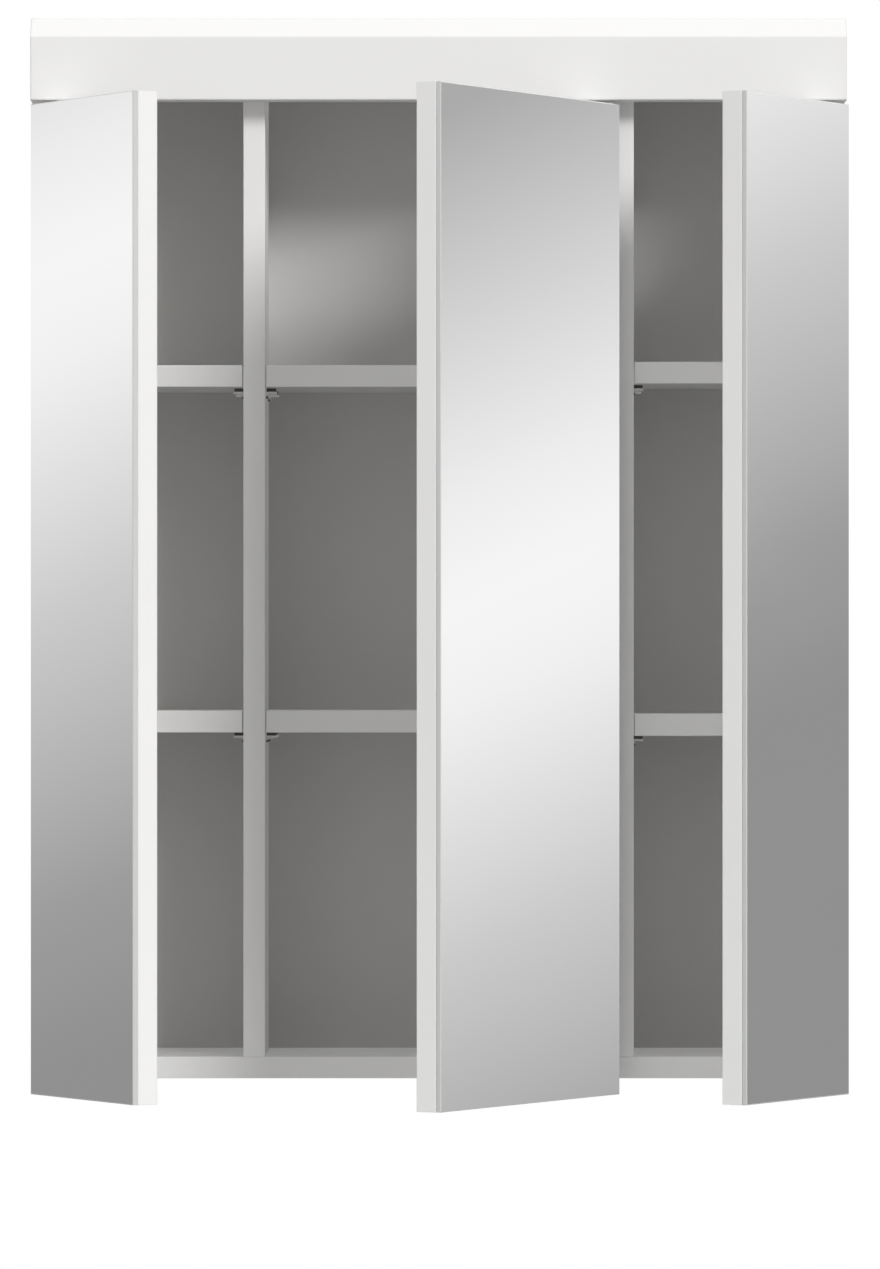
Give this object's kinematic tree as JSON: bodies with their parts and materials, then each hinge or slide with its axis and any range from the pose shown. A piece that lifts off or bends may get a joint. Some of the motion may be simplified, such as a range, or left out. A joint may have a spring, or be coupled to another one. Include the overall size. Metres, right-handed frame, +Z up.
{
  "type": "bathroom mirror cabinet",
  "caption": "Wall cabinet for a bathroom with open compartments behind mirror doors on concealed hinges, under a bevelled cornice.",
  "frame": {"origin": "midpoint between the two wall screw holes, on the wall plane", "axes": "+Z up, +Y into the wall, so the mirror doors face -Y and +X is to the right as seen from the front"},
  "size_m": [0.6021, 0.3893, 0.792],
  "materials": {
    "carcass_melamine": "satin white melamine on chipboard, white edge band",
    "door_melamine": "satin white melamine on chipboard, white edge band",
    "rail_melamine": "satin white melamine",
    "cornice_lacquer": "satin white lacquer",
    "back_board": "white lacquered hardboard",
    "mirror_glass": "silvered float glass with polished edges",
    "nickel_steel": "nickel plated",
    "zinc_steel": "zinc plated",
    "clear_rubber": "clear silicone",
    "soft_pad": "matt dark rubber",
    "beech": "raw beech"
  },
  "bodies": {
    "carcass": {"arm_screws": "nickel_steel", "back_panel": "back_board", "bottom_panel": "carcass_melamine", "cam_bolts": "zinc_steel", "cam_discs": "zinc_steel", "cornice_board": "cornice_lacquer", "hanging_rail": "rail_melamine", "hinge_arms_left": "nickel_steel", "hinge_arms_middle": "nickel_steel", "hinge_arms_right": "nickel_steel", "hinge_pins": "nickel_steel", "hinge_plates_left": "nickel_steel", "hinge_plates_middle": "nickel_steel", "hinge_plates_right": "nickel_steel", "lower_rail": "rail_melamine", "partition_left": "carcass_melamine", "partition_right": "carcass_melamine", "partition_screws": "zinc_steel", "plate_screws": "nickel_steel", "shelf_left_lower": "carcass_melamine", "shelf_left_upper": "carcass_melamine", "shelf_middle_lower": "carcass_melamine", "shelf_middle_upper": "carcass_melamine", "shelf_pads": "soft_pad", "shelf_right_lower": "carcass_melamine", "shelf_right_upper": "carcass_melamine", "shelf_supports": "nickel_steel", "side_panel_left": "carcass_melamine", "side_panel_right": "carcass_melamine", "top_panel": "carcass_melamine", "wood_dowels": "beech"},
    "door_left": {"cup_screws_left": "nickel_steel", "door_board_left": "door_melamine", "door_bumpers_left": "clear_rubber", "hinge_cups_left": "nickel_steel", "mirror_left": "mirror_glass"},
    "door_middle": {"cup_screws_middle": "nickel_steel", "door_board_middle": "door_melamine", "door_bumpers_middle": "clear_rubber", "hinge_cups_middle": "nickel_steel", "mirror_middle": "mirror_glass"},
    "door_right": {"cup_screws_right": "nickel_steel", "door_board_right": "door_melamine", "door_bumpers_right": "clear_rubber", "hinge_cups_right": "nickel_steel", "mirror_right": "mirror_glass"},
    "links_left": {"hinge_links_left": "nickel_steel"},
    "links_middle": {"hinge_links_middle": "nickel_steel"},
    "links_right": {"hinge_links_right": "nickel_steel"}
  },
  "joints": [
    {"name": "door_left_swing", "type": "hinge", "parent": "carcass", "child": "door_left", "pos_m": [-0.292, -0.1645, 0], "axis": [0, 0, -1], "range_deg": [-60, 35]},
    {"name": "links_left_swing", "type": "hinge", "parent": "carcass", "child": "links_left", "pos_m": [-0.2694, -0.1556, 0], "axis": [0, 0, 1], "range_deg": [-15.02, 8.85]},
    {"name": "door_middle_swing", "type": "hinge", "parent": "carcass", "child": "door_middle", "pos_m": [0.1251, -0.1645, 0], "axis": [0, 0, 1], "range_deg": [-60, 35]},
    {"name": "links_middle_swing", "type": "hinge", "parent": "carcass", "child": "links_middle", "pos_m": [0.1025, -0.1556, 0], "axis": [0, 0, -1], "range_deg": [-15.02, 8.85]},
    {"name": "door_right_swing", "type": "hinge", "parent": "carcass", "child": "door_right", "pos_m": [0.2939, -0.1645, 0], "axis": [0, 0, 1], "range_deg": [-60, 35]},
    {"name": "links_right_swing", "type": "hinge", "parent": "carcass", "child": "links_right", "pos_m": [0.2713, -0.1556, 0], "axis": [0, 0, -1], "range_deg": [-15.02, 8.85]}
  ],
  "couplings": [
    {"joint": "links_left_swing", "follows": "door_left_swing", "ratio": 0.247},
    {"joint": "links_middle_swing", "follows": "door_middle_swing", "ratio": 0.247},
    {"joint": "links_right_swing", "follows": "door_right_swing", "ratio": 0.247}
  ]
}
